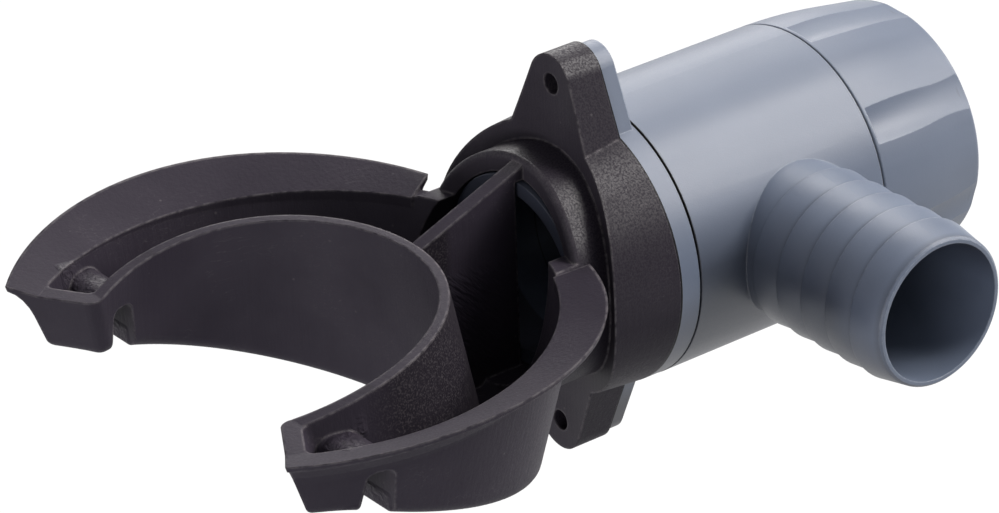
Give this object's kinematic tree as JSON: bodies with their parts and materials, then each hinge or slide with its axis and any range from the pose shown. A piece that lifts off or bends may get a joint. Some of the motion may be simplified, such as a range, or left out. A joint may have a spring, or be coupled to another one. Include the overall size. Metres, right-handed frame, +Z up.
{
  "type": "rainwater diverter",
  "caption": "Downpipe rainwater diverter: soft C-shaped collector trough, eared mounting ring, grey body with barbed hose tail and a fluted turning knob.",
  "frame": {"origin": "on the outer wall of the downpipe at the centre of its hole, midway between the two screw holes", "axes": "+X along the body away from the pipe, +Z up the pipe, hose tail along -Y"},
  "size_m": [0.1942, 0.1332, 0.09],
  "materials": {
    "soft_rubber": "matte charcoal moulded rubber with a slightly grainy skin",
    "grey_plastic": "satin blue-grey moulded plastic",
    "seal_rubber": "plain black seal ring"
  },
  "bodies": {
    "base": {"collector": "soft_rubber", "mounting_ring": "grey_plastic", "body": "grey_plastic"},
    "knob": {"knob": "grey_plastic", "knob_seal": "seal_rubber"}
  },
  "joints": [
    {"name": "knob_turn", "type": "hinge", "parent": "base", "child": "knob", "pos_m": [0.063, 0, 0], "axis": [1, 0, 0], "range_deg": [0, 90]}
  ]
}
